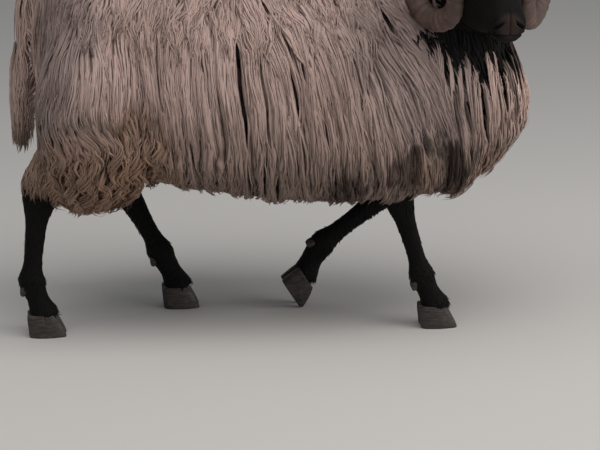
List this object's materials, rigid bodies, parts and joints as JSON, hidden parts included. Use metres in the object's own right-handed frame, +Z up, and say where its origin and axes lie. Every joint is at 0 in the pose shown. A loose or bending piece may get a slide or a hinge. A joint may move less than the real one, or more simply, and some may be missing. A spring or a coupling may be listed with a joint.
{
  "type": "sheep",
  "caption": "Walking horned ram in full long fleece, with a dark face and dark legs, its head turned aside to look at the viewer; a still model.",
  "frame": {"origin": "on the floor, under the middle of the ram's outline", "axes": "+X the way the ram walks, +Y its left, +Z up"},
  "size_m": [0.9466, 0.6364, 0.7522],
  "materials": {
    "white_wool": "long, soft, slightly wavy locks of off-white wool, matt",
    "black_hair": "short flat black hair, nearly matt",
    "horn": "ridged tan-grey horn, dull",
    "claw": "dark dull hoof horn",
    "eye": "moist amber iris with a level dark pupil"
  },
  "bodies": {
    "root": {"head": "black_hair", "eye_right": "eye", "horn_right": "horn", "ear_right": "black_hair", "eye_left": "eye", "horn_left": "horn", "ear_left": "black_hair", "trunk": "white_wool", "neck": "black_hair", "tail": "white_wool", "thigh_right": "white_wool", "claw_fore_right_outer": "claw", "claw_fore_right_inner": "claw", "leg_fore_right": "black_hair", "claw_hind_right_outer": "claw", "claw_hind_right_inner": "claw", "leg_hind_right": "black_hair", "thigh_left": "white_wool", "claw_fore_left_outer": "claw", "claw_fore_left_inner": "claw", "leg_fore_left": "black_hair", "claw_hind_left_outer": "claw", "claw_hind_left_inner": "claw", "leg_hind_left": "black_hair"}
  },
  "joints": []
}
